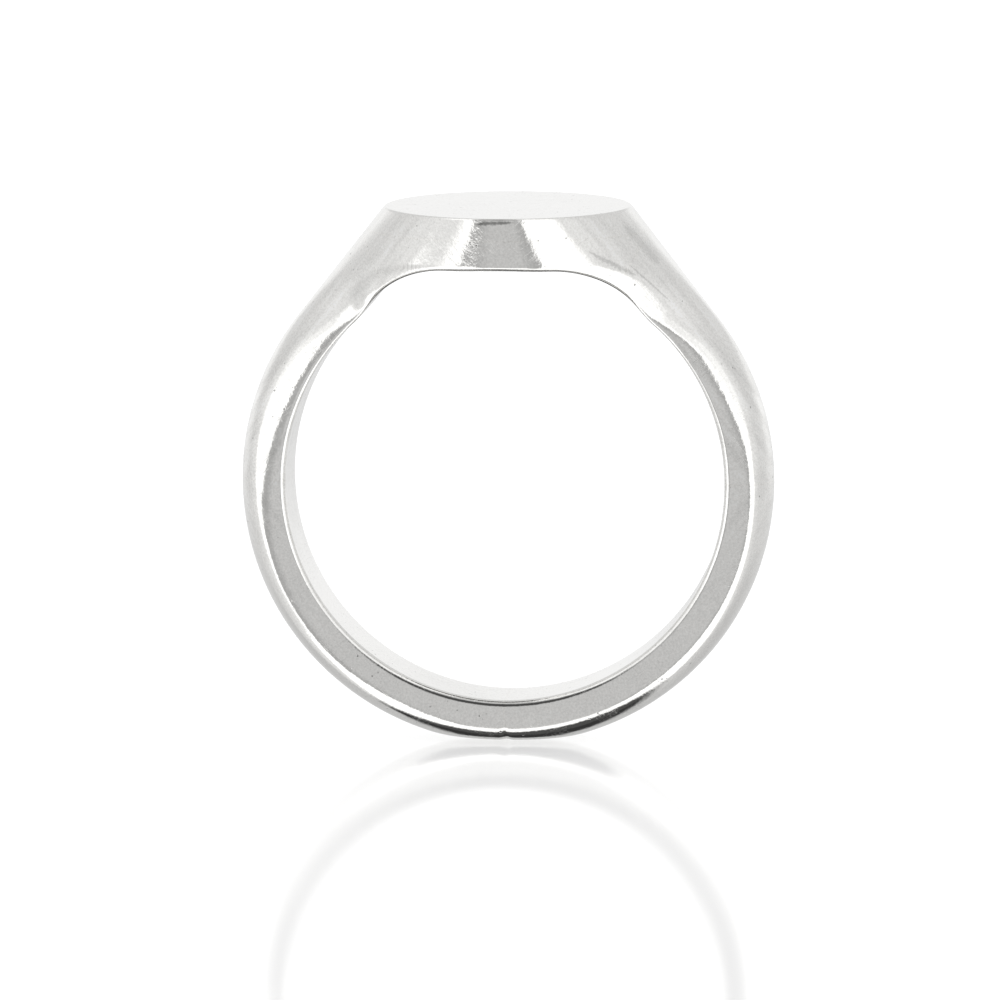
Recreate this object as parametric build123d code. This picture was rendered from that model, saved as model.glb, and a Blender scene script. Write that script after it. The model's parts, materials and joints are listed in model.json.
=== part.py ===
from build123d import *
import os
from math import acos, atan2, cos, degrees, hypot, pi, sin, sqrt

# Oval signet ring in sterling silver, as a bench jeweller builds it: a head block between two shoulders,
# a shank bent from D wire in two halves, and a flat oval table plate on top. Hard solder films join them.
#
# Frame: millimetres, origin at the centre of the finger hole, +Y along the hole, +Z towards the table.

# Finger hole and shank. The crown circle is the ring's outline from the front.
bore_radius = 8.48
crown_radius = 10.33
crown_drop = 0.06
base_depth = 10.22
dome_half_axis = 5.3

# Head
table_height = 10.62
table_half_across = 4.75
table_half_along = 6.0
plate_thickness = 0.85

# The hole is relieved under the head, where its arch is flatter than the circle
relief_radius = 3.82
relief_spacing = 4.1
relief_centre_height = 4.70

# The ring narrows to a waist under the head, then widens to the head's leaning wall
waist_rate = 0.049
waist_height = 5.7
head_height = 8.75
head_lean = 0.3

# The filed side faces: almost flat round the shank, and flared out under the head
side_half_width_middle = 1.95
side_taper = 0.015
side_flare = 4.3
side_flare_power = 8

# Solder joints
film = 0.08
base_seam = 0.1

# The shoulder's outline runs straight from the table's end to the crown circle, which it touches here
table_rise = table_height + crown_drop
table_angle = atan2(table_rise, table_half_across)
tangent_angle = table_angle - acos(crown_radius / hypot(table_rise, table_half_across))

# Heights where the body is sectioned, and the points on each section and on each side face
overlap = 1.2
section_count = 20
points_round_section = 32
side_points = 24
margin = 2.0


def half_across(z):
    """Half the body's reach along X at height z: the crown circle, then the straight shoulder."""
    rise = z + crown_drop
    if rise < crown_radius * sin(tangent_angle):
        return sqrt(crown_radius**2 - rise**2)
    return (crown_radius - rise * sin(tangent_angle)) / cos(tangent_angle)


def half_along(z):
    """Half the body's reach along the finger at height z, before its sides are filed flat."""
    waist = dome_half_axis - waist_rate * max(z, 0) ** 2
    head = table_half_along - head_lean * (table_height - z)
    share = min(max((z - waist_height) / (head_height - waist_height), 0), 1)
    share = share**2 * (3 - 2 * share)
    return waist + (head - waist) * share


def side_half_width(z):
    """Where the filed side faces lie at height z."""
    flare = side_flare * (max(z, 0) / head_height) ** side_flare_power
    return side_half_width_middle + side_taper * z + flare


def oval_section(z):
    """The horizontal section of the head and shoulders, a full oval."""
    angles = [2 * pi * i / points_round_section for i in range(points_round_section)]
    points = [(half_across(z) * cos(t), half_along(z) * sin(t), z) for t in angles]
    return make_face(Spline(*points, periodic=True))


def upper_blank():
    """Head and shoulders, from just below the middle of the hole up to the table."""
    step = (table_height + overlap) / (section_count - 1)
    blank = loft([oval_section(-overlap + i * step) for i in range(section_count)])
    return split(blank, bisect_by=Plane.XY, keep=Keep.TOP)


def lower_blank():
    """The domed lower shank: an ellipse turned round, then cut level with the middle of the hole."""
    ellipse = Plane.YZ * Ellipse(dome_half_axis, crown_radius)
    half = split(ellipse, bisect_by=Plane.XY, keep=Keep.TOP)
    dome = Pos(0, 0, -crown_drop) * revolve(half, axis=Axis.Y, revolution_arc=360)
    return split(dome, bisect_by=Plane.XY, keep=Keep.BOTTOM)


def side_slab():
    """Everything between the two filed side faces and above the flat filed under the base."""
    flare_top = table_height - 1.5
    step = (flare_top + base_depth) / (side_points - 1)
    heights = [i * step - base_depth for i in range(side_points)]
    near = [(0, -side_half_width(z), z) for z in heights]
    far = [(0, side_half_width(z), z) for z in reversed(heights)]
    roof = table_height + margin
    outline = [
        Spline(*near),
        Polyline(near[-1], (0, near[-1][1], roof), (0, far[0][1], roof), far[0]),
        Spline(*far),
        Line(far[-1], near[0]),
    ]
    reach = crown_radius + margin
    return extrude(make_face(outline), amount=reach, dir=(1, 0, 0), both=True)


def finger_hole():
    """The round hole with the flatter relief under the head, as one solid to cut away."""
    bore = Cylinder(bore_radius, 4 * table_half_along, rotation=(90, 0, 0))
    arch = Plane.XZ * Pos(0, relief_centre_height) * SlotCenterToCenter(relief_spacing, 2 * relief_radius)
    return bore + extrude(arch, amount=2 * table_half_along, both=True)


def filed_and_bored(blank):
    """The blank with its sides filed flat and the finger hole cut."""
    return (blank & side_slab()) - finger_hole()


def radial_plane(angle, shift):
    """A plane through the hole's axis at this angle above +X, shifted towards the table side."""
    normal = Vector(-sin(angle), 0, cos(angle))
    return Plane(origin=normal * shift, x_dir=(0, 1, 0), z_dir=normal)


def above(shape, plane):
    return split(shape, bisect_by=plane, keep=Keep.TOP)


def below(shape, plane):
    return split(shape, bisect_by=plane, keep=Keep.BOTTOM)


def slab(shape, low, high):
    return below(above(shape, low), high)


def write(name, shape):
    shape.label = name
    export_step(shape, f"parts/{name}.step")


os.makedirs("parts", exist_ok=True)
upper = filed_and_bored(upper_blank())
lower = filed_and_bored(lower_blank())

# The table plate and the film under it
plate_bottom = table_height - plate_thickness
film_bottom = plate_bottom - film
write("table_plate", above(upper, Plane.XY.offset(plate_bottom)))
write("table_solder", slab(upper, Plane.XY.offset(film_bottom), Plane.XY.offset(plate_bottom)))

# The head's side joints meet the plate's ends, so that each shoulder rises to the plate's corner
joint_angle = atan2(film_bottom, half_across(film_bottom))
under_plate = below(upper, Plane.XY.offset(film_bottom))
right_half = above(under_plate, Plane.YZ)
joint_low = radial_plane(joint_angle, -film)
joint_high = radial_plane(joint_angle, 0)
write("head_block", slab(under_plate, joint_high, radial_plane(pi - joint_angle, 0)))

# The pieces that come in pairs, each drawn on the +X side
film_top = Plane.XY.offset(film)
seam_side = Plane.YZ.offset(base_seam / 2)
pairs = {
    "head_solder": slab(right_half, joint_low, joint_high),
    "shoulder": slab(right_half, film_top, joint_low),
    "shank_solder": below(right_half, film_top),
    "shank": above(lower, seam_side),
}
for name, shape in pairs.items():
    write("right_" + name, shape)
    write("left_" + name, mirror(shape, about=Plane.YZ))

# The closing seam at the bottom of the shank
write("base_solder", slab(lower, Plane.YZ.offset(-base_seam / 2), seam_side))

print(f"joints at {degrees(joint_angle):.1f} deg, shoulders touch the crown circle at "
      f"{degrees(tangent_angle):.1f} deg")
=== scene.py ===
import json
from math import acos, atan2, cos, degrees, hypot, pi, radians, sin

import bmesh
import bpy
import numpy as np
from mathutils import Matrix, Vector


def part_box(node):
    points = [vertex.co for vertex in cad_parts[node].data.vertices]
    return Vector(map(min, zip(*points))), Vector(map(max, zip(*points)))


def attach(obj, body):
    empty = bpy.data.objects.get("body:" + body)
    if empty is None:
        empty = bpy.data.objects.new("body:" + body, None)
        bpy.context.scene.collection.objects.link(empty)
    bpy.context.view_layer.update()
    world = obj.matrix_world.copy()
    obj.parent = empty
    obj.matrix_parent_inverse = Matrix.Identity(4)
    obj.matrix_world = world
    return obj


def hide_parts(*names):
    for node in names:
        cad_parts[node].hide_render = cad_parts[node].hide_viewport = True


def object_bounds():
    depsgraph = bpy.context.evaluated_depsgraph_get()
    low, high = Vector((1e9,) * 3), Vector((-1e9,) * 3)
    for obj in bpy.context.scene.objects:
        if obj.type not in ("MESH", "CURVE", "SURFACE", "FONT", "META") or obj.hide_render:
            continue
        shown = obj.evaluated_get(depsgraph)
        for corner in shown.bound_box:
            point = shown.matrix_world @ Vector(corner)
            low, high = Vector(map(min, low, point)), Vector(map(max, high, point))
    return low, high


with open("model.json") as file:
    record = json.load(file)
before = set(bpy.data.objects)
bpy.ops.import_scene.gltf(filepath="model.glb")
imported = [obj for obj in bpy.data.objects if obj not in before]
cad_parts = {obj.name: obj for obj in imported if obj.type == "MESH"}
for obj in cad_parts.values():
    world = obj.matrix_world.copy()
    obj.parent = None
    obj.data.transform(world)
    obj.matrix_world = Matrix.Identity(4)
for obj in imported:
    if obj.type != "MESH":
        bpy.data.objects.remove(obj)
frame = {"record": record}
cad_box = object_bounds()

# Signet ring: every CAD node is replaced by a finer mesh of the same piece, with its edges rounded as
# polishing leaves them. Shapes are worked out in millimetres, in the row's frame: origin in the finger
# hole, +Y along it, +Z to the table. They become metres when a mesh is made.

MM = 1000.0

# Finger hole and outline, from the frame where it has them
bore_radius = next(m["dims"]["r_mm"] for m in frame["record"]["mounts"] if m["name"] == "finger_bore")
crown_radius = cad_box[1][0] * MM
crown_drop = 0.06
base_depth = -cad_box[0][2] * MM
table_height = cad_box[1][2] * MM
table_half_along = 6.0
table_half_across = 4.75

# The domed shank, which grows fuller from the base up to its sides between these heights
dome_half_axis = 4.85
dome_fullness = 0.6
dome_heights = (-9.5, -4.0)

# The hole is relieved under the head, where its arch is flatter than the circle
relief_radius = 3.82
relief_spacing = 4.1
relief_centre_height = 4.70

# The ring narrows to a waist under the head, then widens to the head's leaning wall
waist_rate = 0.052
waist_height = 5.7
head_height = 8.75
head_lean = 0.3

# The filed side faces: almost flat round the shank, and flared out under the head
side_half_width_middle = 1.95
side_taper = 0.015
side_flare = 4.3
side_flare_power = 8

# Joint planes, from the nodes that they part
plate_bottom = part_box("table_plate")[0][2] * MM
head_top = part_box("head_block")[1][2] * MM
shank_film_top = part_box("right_shank_solder")[1][2] * MM
seam_half_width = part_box("base_solder")[1][0] * MM

# How far each edge is rounded by polishing: the width over which two faces blend into one another. The
# hole's rim is rounder round the shank than under the head, and changes between these heights.
rim_blend, head_rim_blend = 0.28, 0.16
rim_heights = (2.0, 6.5)
relief_blend = 0.2
shoulder_blend = 0.14
bevel_blend = 0.2
base_blend = 0.3
table_edge_radius = 0.07

# Polishing leaves a shallow bevel outside each side face. It starts further in towards the head and at the
# base, and a little further out on the right.
bevel_angle = radians(19)
bevel_radius_low = 9.6
bevel_radius_high = 8.65
bevel_heights = (-3.5, 6.0)
bevel_lean = 0.012
bevel_base_dip = 0.2
bevel_base_depths = (7.0, 9.5)

# The base seam is a shallow groove where the solder was filed
seam_groove_depth = 0.045
seam_groove_width = 0.16

# Grid of the ring's body: stations round the hole, rays and points round each section. The crown is looked
# for out to this many crown radii. The body ends a little above the table, beyond every cut.
stations = 720
rays = 420
section_points = 96
point_spacing, point_turn, spread_smoothing = 0.16, radians(5), 15
crown_search_steps, crown_search_reach = 900, 1.7
longest_ray, bisections = 9.0, 34
gradient_step = 0.004
spare_height = 0.6
cut_tolerance = 1e-4

# Grid of the table plate: points round each oval, and ovals up its wall, round its edge and over its top
plate_points, wall_ovals, edge_ovals, top_ovals = 360, 14, 9, 40

# Wear textures: noise scales in cycles per metre
mottle_scale, ripple_scale, cloud_scale = 12000, 2600, 700
brush_scales = (220, 900, 4200)
pit_scale, pit_chance_scale = 5200, 2600

# Hairline scratches: how each set is turned, its scales and its width, and the cloudiness that shows them
hairline_sets = [
    ((0, 35, 20), (250, 250, 6000), 0.006),
    ((0, -50, -35), (300, 300, 5000), 0.005),
]
scratched_cloud = (0.45, 0.6)

# How strongly wear changes the metal's tone, as a share of it
head_grain, shank_grain = 0.45, 0.4
brushing = 0.4
cloud_tones = (1.02, 0.97)
scratch_tone, pit_tone, file_tone = 0.88, 0.4, 0.84

# How deep wear goes, in units of the bump height, which is in millimetres, and how many times rougher the
# cloudiest and the scratched metal is
bump_height = 0.002
ripple_depth, scratch_depth, pit_depth = 3, -0.4, -4
roughest = 2.2

# Pits crowd round one spot, where the surface is bumpier too. They show where their chance is high, and
# crowding adds to it.
pit_centre, pit_reach, pit_bumpiness = (-0.95, -5.65, 9.6), 1.0, 0.4
pit_edge, pit_crowding, pit_chance = (0.3, 0.12), 0.16, (0.66, 0.72)

# File marks are short and upright, in one flat patch
file_centre, file_reach, file_squash = (-3.3, -4.55, 8.62), 0.62, 2.2
file_scales, file_pitch, file_edge = (1, 0.3, 0.1), 1900, (0.4, 0.05)

# A patch is whole within this share of its reach. A painted dark reflection line reaches this many
# half-widths off its line, before its ragged edge is taken off.
patch_core = 0.4
painted_line_widening = 1.6

# Painted dark reflection lines, where dark things show in the polished right shoulder and along the top of
# the head's front wall: start, end, half-width and the share of the light that they take
painted_reflection_lines = [
    ((3.0, -4.75, 9.52), (5.6, -2.8, 7.98), 0.12, 0.24),
    ((4.55, -3.6, 9.05), (6.9, -1.85, 6.6), 0.045, 0.22),
    ((4.2, -2.6, 10.6), (6.4, -1.7, 8.1), 0.2, 0.16),
    ((-1.15, -5.9, 10.4), (1.0, -5.95, 10.5), 0.1, 0.6),
]

# The shoulders are brushed: off the head's middle, below the table's edge and down to the shank. Pairs are
# where something starts and where it is complete.
shank_heights = (2.0, -6.0)
brushed_across = (1.8, 3.5)
brushed_under_table = (0.02, 0.2)

# The light tent, in degrees off the middle of its open front and degrees of elevation. Pairs are where
# something starts and where it is complete. The opening darkens towards its sides, narrows on its left low
# down, and ends above a lit floor.
opening_left, opening_right = 31.5, 25.5
opening_left_slant, opening_left_slant_from, opening_left_slant_most = 3.2, -34.8, 3
opening_foot = (-50, -60)
opening_shade, opening_rim_shade = 0.56, 0.42
opening_rim = (12, 24)
soft_edge = (-1, 1)

# The lit panels beside the opening reach further round low down, and are dimmer high up. The left one has a
# notch.
panel_shade, high_panel_shade = 1.25, 1.0
high_panel = (6, 14)
panel_left, panel_left_drop, panel_left_growth = 62.0, -28.0, 0.045
panel_right, panel_right_drop, panel_right_growth = 57.0, 5.0, 0.022
panel_left_notch, notch_top, notch_foot = 20.0, (-6, -23), (-45, -31)
panel_edge = (-4, 7)

# The grey cloth beyond them is brighter near the panels and in a level band at the rear, and darker low at
# the rear
cloth_shade, cloth_glow, cloth_fade = 0.69, 0.13, (0, 60)
rear_glow, rear_bearings = 0.24, (125, 150)
rear_glow_foot, rear_glow_top = (-14, 2), (18, 8)
low_rear_shadow, low_rear_bearings, low_rear_heights = 0.14, (110, 140), (-10, -32)

# Dark gaps in the tent: the way to the middle, the outer and inner edge in degrees, and how dark
tent_gaps = [
    ((-0.01, 0.31, -0.95), 30, 23, 0.94),
    ((-0.04, -0.9, 0.43), 24, 15, 0.88),
]

table_rise = table_height + crown_drop
table_angle = atan2(table_rise, table_half_across)
tangent_angle = table_angle - acos(crown_radius / hypot(table_rise, table_half_across))
shoulder_slope = 90 - degrees(tangent_angle)


def half_across(z):
    """Half the outline's reach along X at height z: the crown circle, then the straight shoulder."""
    rise = np.minimum(z, table_height + spare_height) + crown_drop
    circle = np.sqrt(np.maximum(crown_radius**2 - rise**2, 1e-9))
    shoulder = (crown_radius - rise * sin(tangent_angle)) / cos(tangent_angle)
    return np.where(rise < crown_radius * sin(tangent_angle), circle, shoulder)


def smooth_share(value, low, high):
    """0 under low, 1 over high, and smooth between them."""
    share = np.clip((value - low) / (high - low), 0, 1)
    return share**2 * (3 - 2 * share)


def dome_half_along(z):
    """Half the domed shank's reach along the finger, which is fuller at the sides than at the base."""
    return dome_half_axis + dome_fullness * smooth_share(z, *dome_heights)


def half_along(z):
    """Half the oval's reach along the finger at height z, above the middle of the hole."""
    height = np.clip(z, 0, table_height + spare_height)
    waist = dome_half_along(z) - waist_rate * height**2
    head = table_half_along - head_lean * (table_height - height)
    return waist + (head - waist) * smooth_share(height, waist_height, head_height)


def side_half_width(z):
    """Where the filed side faces lie at height z."""
    flare = side_flare * (np.maximum(z, 0) / head_height) ** side_flare_power
    return side_half_width_middle + side_taper * z + flare


def blend_max(a, b, width):
    """The larger of two distances, rounded over where they are nearly equal."""
    overlap = np.maximum(width - np.abs(a - b), 0)
    return np.maximum(a, b) + overlap**2 / (4 * width)


def oval_excess(x, y, z):
    """Roughly the distance outside the domed outer surface, in millimetres."""
    across = half_across(z)
    along = half_along(z)
    upper = np.sqrt((x / across) ** 2 + (y / along) ** 2)
    upper_slope = np.sqrt((x / across**2) ** 2 + (y / along**2) ** 2) / np.maximum(upper, 1e-6)
    radius = np.hypot(x, z + crown_drop)
    dome = dome_half_along(z)
    lower = np.sqrt((radius / crown_radius) ** 2 + (y / dome) ** 2)
    lower_slope = np.sqrt((radius / crown_radius**2) ** 2 + (y / dome**2) ** 2)
    lower_slope = lower_slope / np.maximum(lower, 1e-6)
    above = (upper - 1) / np.maximum(upper_slope, 1e-6)
    below = (lower - 1) / np.maximum(lower_slope, 1e-6)
    return np.maximum(np.where(z > 0, above, below), z - table_height - spare_height)


def hole_excess(x, z):
    """Positive inside the finger hole, with the flatter relief under the head."""
    arch = relief_radius - np.hypot(np.maximum(np.abs(x) - relief_spacing / 2, 0), z - relief_centre_height)
    return blend_max(bore_radius - np.hypot(x, z), arch, relief_blend)


def bevel_excess(x, z, sides):
    """Distance outside the polished bevel, from the distance outside the side faces."""
    start = bevel_radius_low + (bevel_radius_high - bevel_radius_low) * smooth_share(z, *bevel_heights)
    start = start + bevel_lean * x - bevel_base_dip * smooth_share(-z, *bevel_base_depths)
    return sides * cos(bevel_angle) + (np.hypot(x, z) - start) * sin(bevel_angle)


def body_excess(x, y, z):
    """Negative inside the ring's metal, positive outside, with its edges rounded."""
    outside = blend_max(oval_excess(x, y, z), -z - base_depth, base_blend)
    groove = seam_groove_depth * np.exp(-((x / seam_groove_width) ** 2)) * (z < 0)
    sides = np.abs(y) - side_half_width(z)
    outside = blend_max(outside + groove, bevel_excess(x, z, sides), bevel_blend)
    outside = blend_max(outside, sides, shoulder_blend)
    towards_head = np.clip((z - rim_heights[0]) / (rim_heights[1] - rim_heights[0]), 0, 1)
    rim = rim_blend + (head_rim_blend - rim_blend) * towards_head
    return blend_max(outside, hole_excess(x, z), rim)


def body_normals(points):
    """Unit outward normals of the body's surface at these points."""
    rises = []
    for axis in range(3):
        step = np.zeros(3)
        step[axis] = gradient_step
        rises.append(body_excess(*(points + step).T) - body_excess(*(points - step).T))
    normals = np.stack(rises, -1)
    return normals / np.linalg.norm(normals, axis=-1, keepdims=True)


def section_polylines(angles):
    """Points round the half section at each angle, from the bore's middle line to the crown's."""
    across, up = np.cos(angles)[:, None], np.sin(angles)[:, None]
    reach = np.linspace(bore_radius, crown_search_reach * crown_radius, crown_search_steps)[None, :]
    crown = np.argmax(oval_excess(reach * across, 0 * reach, reach * up) > 0, axis=1)
    inner = np.argmax(hole_excess(reach * across, reach * up) < 0, axis=1)
    middle = (reach[0, inner] + reach[0, crown])[:, None] / 2
    ray = np.linspace(-pi / 2, pi / 2, rays)[None, :]
    out, along = np.sin(ray), np.cos(ray)
    near = np.zeros((len(angles), rays))
    far = np.full((len(angles), rays), longest_ray)
    for _ in range(bisections):
        half = (near + far) / 2
        radius = middle + half * out
        outside = body_excess(radius * across, half * along, radius * up) > 0
        far = np.where(outside, half, far)
        near = np.where(outside, near, half)
    radius = middle + near * out
    return radius, near * along


def spread_points(radius, y):
    """Respaces each section's points by length and by turn, so that bends get enough of them."""
    step = np.stack([np.diff(radius, axis=1), np.diff(y, axis=1)], -1)
    length = np.linalg.norm(step, axis=-1)
    heading = np.unwrap(np.arctan2(step[..., 1], step[..., 0]), axis=1)
    turn = np.abs(np.gradient(heading, axis=1))
    weight = length / point_spacing + turn / point_turn
    kernel = np.hanning(2 * spread_smoothing + 1)
    kernel /= kernel.sum()
    padded = np.pad(weight, ((0, 0), (spread_smoothing, spread_smoothing)), mode="edge")
    weight = np.array([np.convolve(row, kernel, mode="valid") for row in padded])
    total = np.concatenate([np.zeros((len(weight), 1)), np.cumsum(weight, axis=1)], axis=1)
    total /= total[:, -1:]
    wanted = np.linspace(0, 1, section_points)
    new_radius = np.array([np.interp(wanted, t, r) for t, r in zip(total, radius)])
    new_y = np.array([np.interp(wanted, t, v) for t, v in zip(total, y)])
    return new_radius, new_y


def body_grid():
    """Vertices (station, point, xyz) of the whole body. Its front and back are the same."""
    angles = np.linspace(-pi / 2, 3 * pi / 2, stations, endpoint=False)
    radius, y = spread_points(*section_polylines(angles))
    y[:, 0] = 0
    y[:, -1] = 0
    rim = np.concatenate([radius, radius[:, -2:0:-1]], axis=1)
    depth = np.concatenate([-y, y[:, -2:0:-1]], axis=1)
    return np.stack([rim * np.cos(angles)[:, None], depth, rim * np.sin(angles)[:, None]], -1)


def body_mesh():
    """One closed mesh of the whole body, from which the pieces are cut."""
    grid = body_grid()
    mesh = bmesh.new()
    vertices = [[mesh.verts.new(point) for point in row] for row in grid]
    for i, row in enumerate(vertices):
        ahead = vertices[(i + 1) % len(vertices)]
        for j in range(len(row)):
            k = (j + 1) % len(row)
            mesh.faces.new((row[j], ahead[j], ahead[k], row[k]))
    bmesh.ops.recalc_face_normals(mesh, faces=mesh.faces)
    return mesh


def cut_piece(body, planes):
    """A closed copy of the body, cut by (point, outward normal) planes."""
    piece = body.copy()
    for point, normal in planes:
        everything = piece.verts[:] + piece.edges[:] + piece.faces[:]
        cut = bmesh.ops.bisect_plane(
            piece,
            geom=everything,
            dist=1e-7,
            plane_co=point,
            plane_no=normal,
            clear_outer=True,
        )
        rim = [e for e in cut["geom_cut"] if isinstance(e, bmesh.types.BMEdge)]
        bmesh.ops.holes_fill(piece, edges=rim, sides=0)
    return piece


def on_plane(points, plane):
    point, normal = plane
    return np.abs((points - np.array(point)) @ np.array(normal)) < cut_tolerance


def finish_piece(name, node, mesh, planes, surface_normals, material):
    """Makes the Blender object for a piece, in metres, with true surface normals on its polished faces."""
    data = bpy.data.meshes.new(name)
    mesh.to_mesh(data)
    mesh.free()
    points = np.empty(len(data.vertices) * 3)
    data.vertices.foreach_get("co", points)
    points = points.reshape(-1, 3)
    smooth = surface_normals(points)
    caps = [on_plane(points, plane) for plane in planes]
    cap_normals = [np.array(normal) / np.linalg.norm(normal) for _, normal in planes]
    loop_normals = np.empty((len(data.loops), 3))
    for face in data.polygons:
        corners = list(face.vertices)
        normal = None
        for flat, direction in zip(caps, cap_normals):
            if flat[corners].all():
                normal = direction
        for loop, corner in zip(face.loop_indices, corners):
            loop_normals[loop] = smooth[corner] if normal is None else normal
    data.vertices.foreach_set("co", (points / MM).ravel())
    data.update()
    data.polygons.foreach_set("use_smooth", np.ones(len(data.polygons), bool))
    data.normals_split_custom_set([tuple(n) for n in loop_normals])
    piece = bpy.data.objects.new(name, data)
    bpy.context.scene.collection.objects.link(piece)
    data.materials.append(material)
    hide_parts(node)
    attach(piece, "root")


def radial_plane(angle, shift, facing):
    """A plane through the finger hole's axis, shifted along its normal, which facing may reverse."""
    normal = np.array([-sin(angle), 0, cos(angle)])
    return tuple(normal * shift), tuple(normal * facing)


def level(z, facing):
    return (0, 0, z), (0, 0, facing)


def upright(x, facing):
    return (x, 0, 0), (facing, 0, 0)


def flip(plane):
    """The same plane on the other side of the ring."""
    (x, y, z), (u, v, w) = plane
    return (-x, y, z), (-u, v, w)


def piece_planes():
    """The planes that cut each piece from the body, with normals that point out of the piece."""
    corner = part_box("head_block")[1][0] * MM
    joint_angle = atan2(head_top, corner)
    film = plate_bottom - head_top
    side_joint = radial_plane(joint_angle, 0, -1)
    planes = {
        "table_solder": [level(plate_bottom, 1), level(head_top, -1)],
        "head_block": [level(head_top, 1), side_joint, flip(side_joint)],
        "base_solder": [upright(seam_half_width, 1), upright(-seam_half_width, -1), level(0, 1)],
    }
    pairs = {
        "head_solder": [radial_plane(joint_angle, 0, 1), radial_plane(joint_angle, -film, -1)],
        "shoulder": [radial_plane(joint_angle, -film, 1), level(shank_film_top, -1)],
        "shank_solder": [level(shank_film_top, 1), level(0, -1)],
        "shank": [level(0, 1), upright(seam_half_width, -1)],
    }
    for name, cuts in pairs.items():
        right = cuts + [upright(0, -1)]
        planes["right_" + name] = right
        planes["left_" + name] = [flip(cut) for cut in right]
    return planes


def plate_mesh():
    """The oval table plate: its leaning wall, a polished edge and a flat top of nested ovals."""
    turns = np.linspace(0, 2 * pi, plate_points, endpoint=False)
    edge_foot = table_height - table_edge_radius
    rings = [(z, 0.0) for z in np.linspace(plate_bottom, edge_foot, wall_ovals)]
    for lift in np.linspace(0, pi / 2, edge_ovals)[1:]:
        rings.append((edge_foot + table_edge_radius * sin(lift), table_edge_radius * (1 - cos(lift))))
    ovals = []
    for z, inset in rings:
        across, along = float(half_across(z)), float(half_along(z))
        x, y = across * np.cos(turns), along * np.sin(turns)
        normal = np.stack([x / across**2, y / along**2], -1)
        normal /= np.linalg.norm(normal, axis=1, keepdims=True)
        flat = np.stack([x, y], -1) - normal * inset
        ovals.append(np.column_stack([flat, np.full(len(turns), z)]))
    rim = ovals[-1]
    for share in np.linspace(1, 0, top_ovals)[1:-1]:
        ovals.append(rim * np.array([share, share, 1]))
    mesh = bmesh.new()
    rows = [[mesh.verts.new(p) for p in oval] for oval in ovals]
    for low, high in zip(rows, rows[1:]):
        for j in range(len(low)):
            k = (j + 1) % len(low)
            mesh.faces.new((low[j], low[k], high[k], high[j]))
    centre = mesh.verts.new((0, 0, table_height))
    for j in range(len(rows[-1])):
        mesh.faces.new((rows[-1][j], rows[-1][(j + 1) % len(turns)], centre))
    mesh.faces.new(rows[0][::-1])
    return mesh


def plate_normals(points):
    """Outward normals of the plate's wall, which turn upwards round its edge."""
    wall = body_normals(points)
    lift = np.clip((points[:, 2] - table_height) / table_edge_radius + 1, 0, 1)[:, None]
    return wall * np.sqrt(1 - lift**2) + np.array([0, 0, 1]) * lift


def add_camera():
    """A long lens a little above the finger hole's axis and to its right, as far off as a macro lens."""
    azimuth, elevation, distance = radians(4.6), radians(7.25), 0.300
    view_width_at_ring, sensor = 38.76, 36.0
    place = Vector((
        sin(azimuth) * cos(elevation),
        -cos(azimuth) * cos(elevation),
        sin(elevation),
    )) * distance
    data = bpy.data.cameras.new("camera")
    data.sensor_width = sensor
    data.lens = distance * MM * sensor / view_width_at_ring
    data.shift_x = -0.008
    data.shift_y = -0.0223
    data.clip_start = 0.01
    camera = bpy.data.objects.new("camera", data)
    camera.location = place
    camera.rotation_euler = (-place).to_track_quat("-Z", "Y").to_euler()
    bpy.context.scene.collection.objects.link(camera)
    bpy.context.scene.camera = camera


def maths(tree, operation, *values):
    """A maths node in this tree; each value is a number or another node's output."""
    node = tree.nodes.new("ShaderNodeMath")
    node.operation = operation
    for socket, value in zip(node.inputs, values):
        if isinstance(value, (int, float)):
            socket.default_value = value
        else:
            tree.links.new(value, socket)
    return node.outputs[0]


def product(tree, first, *others):
    """All these values multiplied together."""
    for value in others:
        first = maths(tree, "MULTIPLY", first, value)
    return first


def smooth_range(tree, value, low, high):
    """0 at low and beyond, 1 at high and beyond, and smooth between them; low may be the larger."""
    node = tree.nodes.new("ShaderNodeMapRange")
    node.interpolation_type = "SMOOTHSTEP"
    node.inputs["From Min"].default_value = low
    node.inputs["From Max"].default_value = high
    tree.links.new(value, node.inputs["Value"])
    return node.outputs["Result"]


def dark_disc(tree, direction, aim, outer, inner):
    """1 within inner degrees of the aim, 0 outside outer degrees of it."""
    dot = tree.nodes.new("ShaderNodeVectorMath")
    dot.operation = "DOT_PRODUCT"
    dot.inputs[1].default_value = Vector(aim).normalized()
    tree.links.new(direction, dot.inputs[0])
    return smooth_range(tree, dot.outputs["Value"], cos(radians(outer)), cos(radians(inner)))


def panel_limit(tree, elevation, reach, drop, growth):
    """How far round a lit panel reaches, in degrees: further the lower it is than its drop."""
    depth = maths(tree, "MAXIMUM", maths(tree, "SUBTRACT", drop, elevation), 0)
    return maths(tree, "MULTIPLY_ADD", product(tree, depth, depth), growth, reach)


def blend(tree, share, low, high):
    """From low where share is 0 to high where it is 1."""
    node = tree.nodes.new("ShaderNodeMix")
    node.data_type = "FLOAT"
    for socket, value in (("Factor", share), ("A", low), ("B", high)):
        if isinstance(value, (int, float)):
            node.inputs[socket].default_value = value
        else:
            tree.links.new(value, node.inputs[socket])
    return node.outputs["Result"]


def opening_edge(tree, elevation, on_right):
    """How far round the tent's opening reaches on this side, in degrees."""
    slant = maths(tree, "MAXIMUM", maths(tree, "SUBTRACT", opening_left_slant_from, elevation), 0)
    slant = maths(tree, "MINIMUM", slant, opening_left_slant_most)
    left = maths(tree, "MULTIPLY_ADD", slant, -opening_left_slant, opening_left)
    return blend(tree, on_right, left, opening_right)


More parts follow.
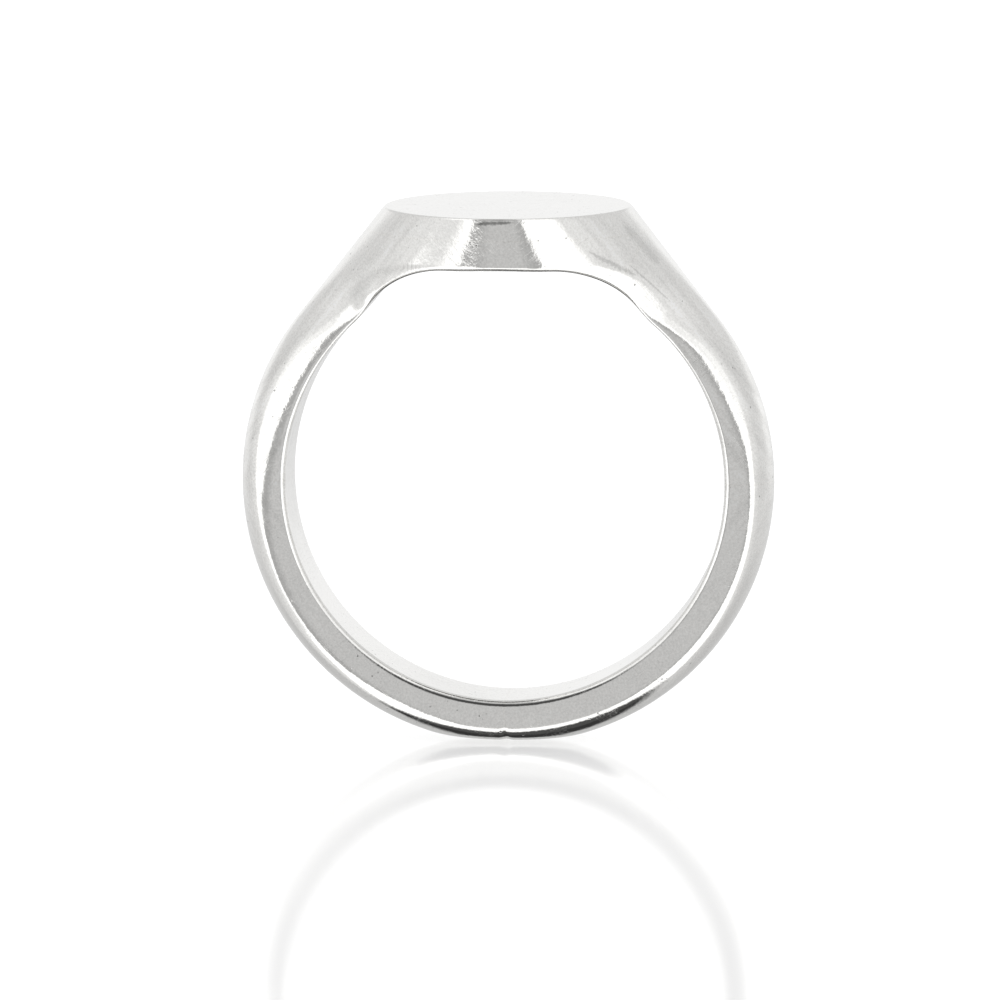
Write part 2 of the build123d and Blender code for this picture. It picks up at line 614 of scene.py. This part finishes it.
def panel_end(tree, elevation, on_right):
    """How far round the lit panel reaches on this side, in degrees."""
    left = panel_limit(tree, elevation, panel_left, panel_left_drop, panel_left_growth)
    right = panel_limit(tree, elevation, panel_right, panel_right_drop, panel_right_growth)
    top, foot = smooth_range(tree, elevation, *notch_top), smooth_range(tree, elevation, *notch_foot)
    left = maths(tree, "MULTIPLY_ADD", product(tree, top, foot), -panel_left_notch, left)
    return blend(tree, on_right, left, right)


def cloth_tone(tree, off_front, past_panel, elevation):
    """The grey cloth's brightness beyond the lit panels."""
    cloth = blend(tree, smooth_range(tree, past_panel, *cloth_fade), cloth_shade + cloth_glow, cloth_shade)
    behind = smooth_range(tree, off_front, *rear_bearings)
    foot, top = smooth_range(tree, elevation, *rear_glow_foot), smooth_range(tree, elevation, *rear_glow_top)
    cloth = maths(tree, "ADD", cloth, product(tree, behind, foot, top, rear_glow))
    low_behind = smooth_range(tree, off_front, *low_rear_bearings)
    low = smooth_range(tree, elevation, *low_rear_heights)
    return maths(tree, "SUBTRACT", cloth, product(tree, low_behind, low, low_rear_shadow))


def tent_shade(tree, direction):
    """The tent's brightness this way, before its dark gaps."""
    parts = tree.nodes.new("ShaderNodeSeparateXYZ")
    tree.links.new(direction, parts.inputs[0])
    x, y, z = parts.outputs
    bearing = maths(tree, "DEGREES", maths(tree, "ARCTAN2", x, product(tree, y, -1)))
    elevation = maths(tree, "DEGREES", maths(tree, "ARCSINE", z))
    off_front = maths(tree, "ABSOLUTE", bearing)
    on_right = smooth_range(tree, bearing, *soft_edge)
    opening = blend(tree, smooth_range(tree, off_front, *opening_rim), opening_shade, opening_rim_shade)
    past_panel = maths(tree, "SUBTRACT", off_front, panel_end(tree, elevation, on_right))
    cloth = cloth_tone(tree, off_front, past_panel, elevation)
    panel = blend(tree, smooth_range(tree, elevation, *high_panel), panel_shade, high_panel_shade)
    surround = blend(tree, smooth_range(tree, past_panel, *panel_edge), panel, cloth)
    past_edge = maths(tree, "SUBTRACT", off_front, opening_edge(tree, elevation, on_right))
    past_edge = smooth_range(tree, past_edge, *soft_edge)
    past_edge = maths(tree, "MAXIMUM", past_edge, smooth_range(tree, elevation, *opening_foot))
    return blend(tree, past_edge, opening, surround)


def add_tent():
    """A light tent with an open front, where the camera looks in, and dark gaps over and under the ring."""
    world = bpy.data.worlds.new("light_tent")
    world.use_nodes = True
    tree = world.node_tree
    direction = tree.nodes.new("ShaderNodeTexCoord").outputs["Generated"]
    shade = tent_shade(tree, direction)
    for aim, outer, inner, depth in tent_gaps:
        dark = product(tree, dark_disc(tree, direction, aim, outer, inner), depth)
        shade = product(tree, shade, maths(tree, "SUBTRACT", 1, dark))
    seen = tree.nodes.new("ShaderNodeLightPath").outputs["Is Camera Ray"]
    tree.links.new(blend(tree, seen, shade, 1), tree.nodes["Background"].inputs["Color"])
    bpy.context.scene.world = world


def add_floor():
    """A pale floor just under the ring's base, in metres, left out of the silver's reflections."""
    size, clearance = 2.0, 0.00001
    pale, gloss_roughness, glow = 0.85, 0.1, 0.4
    z = -base_depth / MM - clearance
    corners = [(-size, -size, z), (size, -size, z), (size, size, z), (-size, size, z)]
    data = bpy.data.meshes.new("floor")
    data.from_pydata(corners, [], [(0, 1, 2, 3)])
    floor = bpy.data.objects.new("floor", data)
    bpy.context.scene.collection.objects.link(floor)
    material = bpy.data.materials.new("floor")
    material.use_nodes = True
    shader = material.node_tree.nodes["Principled BSDF"]
    shader.inputs["Base Color"].default_value = (pale, pale, pale, 1)
    shader.inputs["Roughness"].default_value = gloss_roughness
    shader.inputs["Emission Color"].default_value = (1, 1, 1, 1)
    shader.inputs["Emission Strength"].default_value = glow
    data.materials.append(material)
    floor.visible_glossy = False


def texture(tree, kind, place, **settings):
    """A procedural texture node at this place, with its number sockets set by name."""
    node = tree.nodes.new(kind)
    tree.links.new(place, node.inputs["Vector"])
    for socket, value in settings.items():
        node.inputs[socket.replace("_", " ").title()].default_value = value
    return node


def stretched(tree, place, turn, scale):
    """The place turned about each axis, in degrees, and then scaled along each axis."""
    turned = tree.nodes.new("ShaderNodeMapping")
    tree.links.new(place, turned.inputs["Vector"])
    turned.inputs["Rotation"].default_value = [radians(angle) for angle in turn]
    scaled = tree.nodes.new("ShaderNodeMapping")
    tree.links.new(turned.outputs["Vector"], scaled.inputs["Vector"])
    scaled.inputs["Scale"].default_value = scale
    return scaled.outputs["Vector"]


def patch(tree, place, centre, reach, squash=1):
    """1 at a spot on the ring, fading to 0 at its reach; both in millimetres. Squash flattens it."""
    offset = tree.nodes.new("ShaderNodeVectorMath")
    offset.operation = "DISTANCE"
    tree.links.new(stretched(tree, place, (0, 0, 0), (1, 1, squash)), offset.inputs[0])
    x, y, z = centre
    offset.inputs[1].default_value = Vector((x, y, z * squash)) / MM
    return smooth_range(tree, offset.outputs["Value"], reach / MM, patch_core * reach / MM)


def painted_reflection_mask(tree, place, start, end, half_width, ragged):
    """1 along a straight painted dark reflection line from start to end, as seen along the finger hole, which
    tapers at both ends.
    """
    start, end = Vector(start), Vector(end)
    across = (end - start).cross(Vector((0, 1, 0))).normalized()
    dot = tree.nodes.new("ShaderNodeVectorMath")
    dot.operation = "DOT_PRODUCT"
    tree.links.new(place, dot.inputs[0])
    dot.inputs[1].default_value = across * MM
    off_line = maths(tree, "ABSOLUTE", maths(tree, "SUBTRACT", dot.outputs["Value"], across.dot(start)))
    off_line = maths(tree, "MULTIPLY_ADD", ragged, half_width, off_line)
    reach = patch(tree, place, (start + end) / 2, (end - start).length / 2)
    inside = product(tree, reach, half_width * painted_line_widening)
    return smooth_range(tree, maths(tree, "SUBTRACT", off_line, inside), 0, -half_width)


def hairlines(tree, place, turn, scale, width):
    """1 along thin wandering lines, 0 between them: where a stretched noise crosses its middle value."""
    noise = texture(tree, "ShaderNodeTexNoise", stretched(tree, place, turn, scale), scale=1, detail=1)
    off_middle = maths(tree, "ABSOLUTE", maths(tree, "SUBTRACT", noise.outputs["Fac"], 0.5))
    return smooth_range(tree, off_middle, width, 0)


def shoulder_brushing(tree, place):
    """Streaks that run down both shoulders, from a noise stretched along their slope."""
    mirrored = tree.nodes.new("ShaderNodeVectorMath")
    mirrored.operation = "ABSOLUTE"
    tree.links.new(place, mirrored.inputs[0])
    along = stretched(tree, mirrored.outputs[0], (0, -shoulder_slope, 0), brush_scales)
    return texture(tree, "ShaderNodeTexNoise", along, scale=1, detail=3).outputs["Fac"]


def scratch_lines(tree, place, cloud):
    """The hairline scratches, where the cloudiness lets them show."""
    first, second = [hairlines(tree, place, *settings) for settings in hairline_sets]
    return product(tree, maths(tree, "MAXIMUM", first, second), smooth_range(tree, cloud, *scratched_cloud))


def casting_pits(tree, place, crowding):
    """Small round pits, rare except where they crowd."""
    cells = texture(tree, "ShaderNodeTexVoronoi", place, scale=pit_scale).outputs["Distance"]
    chance = texture(tree, "ShaderNodeTexNoise", place, scale=pit_chance_scale, detail=1).outputs["Fac"]
    chance = maths(tree, "MULTIPLY_ADD", crowding, pit_crowding, chance)
    return product(tree, smooth_range(tree, cells, *pit_edge), smooth_range(tree, chance, *pit_chance))


def brushed_share(tree, place):
    """Where the shoulders are brushed, and how far down the shank a point is, each from 0 to 1."""
    parts = tree.nodes.new("ShaderNodeSeparateXYZ")
    tree.links.new(place, parts.inputs[0])
    across, height = maths(tree, "ABSOLUTE", parts.outputs["X"]), parts.outputs["Z"]
    on_shank = smooth_range(tree, height, *(z / MM for z in shank_heights))
    off_middle = smooth_range(tree, across, *(x / MM for x in brushed_across))
    on_wall = smooth_range(tree, height, *((table_height - drop) / MM for drop in brushed_under_table))
    return product(tree, off_middle, on_wall, maths(tree, "SUBTRACT", 1, on_shank)), on_shank


def tone_after_file_marks_and_painted_reflections(tree, place, mottle):
    """How much of the light is left by the file marks over the arch and by the painted dark reflection lines.
    """
    drawn_out = stretched(tree, place, (0, 0, 0), file_scales)
    comb = texture(tree, "ShaderNodeTexWave", drawn_out, scale=file_pitch, distortion=1).outputs["Fac"]
    spot = patch(tree, place, file_centre, file_reach, file_squash)
    left = blend(tree, product(tree, smooth_range(tree, comb, *file_edge), spot), 1, file_tone)
    # Painted reflections: each line darkens the colour where a dark thing shows in the polished metal.
    for start, end, half_width, depth in painted_reflection_lines:
        painted_line = painted_reflection_mask(tree, place, start, end, half_width, mottle)
        left = product(tree, left, blend(tree, painted_line, 1, 1 - depth))
    return left


def polished_metal(name, colour, roughness, contrast):
    """Hand-polished metal with its mottling, brushing down the shoulders, scratches, pits and file marks, and
    painted dark reflection lines in its colour.
    """
    material = bpy.data.materials.new(name)
    material.use_nodes = True
    tree = material.node_tree
    place = tree.nodes.new("ShaderNodeTexCoord").outputs["Object"]
    mottle = texture(tree, "ShaderNodeTexNoise", place, scale=mottle_scale, detail=3).outputs["Fac"]
    ripple = texture(tree, "ShaderNodeTexNoise", place, scale=ripple_scale, detail=2).outputs["Fac"]
    cloud = texture(tree, "ShaderNodeTexNoise", place, scale=cloud_scale, detail=4).outputs["Fac"]
    scratches = scratch_lines(tree, place, cloud)
    crowding = patch(tree, place, pit_centre, pit_reach)
    pits = casting_pits(tree, place, crowding)
    brushed, on_shank = brushed_share(tree, place)

    grain = blend(tree, on_shank, head_grain * contrast, shank_grain * contrast)
    tone = maths(tree, "MULTIPLY_ADD", maths(tree, "SUBTRACT", mottle, 0.5), grain, 1)
    streaks = product(tree, maths(tree, "SUBTRACT", shoulder_brushing(tree, place), 0.5), brushed)
    tone = product(
        tree,
        tone,
        maths(tree, "MULTIPLY_ADD", streaks, brushing, 1),
        blend(tree, cloud, *cloud_tones),
        blend(tree, scratches, 1, scratch_tone),
        blend(tree, pits, 1, pit_tone),
        tone_after_file_marks_and_painted_reflections(tree, place, mottle),
    )
    tint = tree.nodes.new("ShaderNodeVectorMath")
    tint.operation = "SCALE"
    tint.inputs[0].default_value = colour
    tree.links.new(tone, tint.inputs["Scale"])

    height = product(tree, mottle, maths(tree, "MULTIPLY_ADD", crowding, pit_bumpiness, 1))
    for wear, depth in ((ripple, ripple_depth), (scratches, scratch_depth), (pits, pit_depth)):
        height = maths(tree, "MULTIPLY_ADD", wear, depth, height)
    bump = tree.nodes.new("ShaderNodeBump")
    bump.inputs["Strength"].default_value = 1
    bump.inputs["Distance"].default_value = bump_height / MM
    tree.links.new(height, bump.inputs["Height"])

    shader = tree.nodes["Principled BSDF"]
    shader.inputs["Metallic"].default_value = 1
    tree.links.new(tint.outputs[0], shader.inputs["Base Color"])
    rough = blend(tree, maths(tree, "MAXIMUM", cloud, scratches), roughness, roughest * roughness)
    tree.links.new(rough, shader.inputs["Roughness"])
    tree.links.new(bump.outputs[0], shader.inputs["Normal"])
    return material


silver = polished_metal("sterling_silver", colour=(0.932, 0.925, 0.905), roughness=0.045, contrast=1)
solder = polished_metal("silver_solder", colour=(0.925, 0.915, 0.89), roughness=0.06, contrast=1.5)
body = body_mesh()
for name, planes in piece_planes().items():
    material, slot = (solder, "silver_solder") if "solder" in name else (silver, "sterling_silver")
    finish_piece("ring_" + name, name, cut_piece(body, planes), planes, body_normals, material)
body.free()
plate = plate_mesh()
plate_planes = [level(plate_bottom, -1)]
finish_piece("ring_table_plate", "table_plate", plate, plate_planes, plate_normals, silver)
add_tent()
add_floor()
add_camera()
bpy.context.scene.view_settings.view_transform = "Standard"
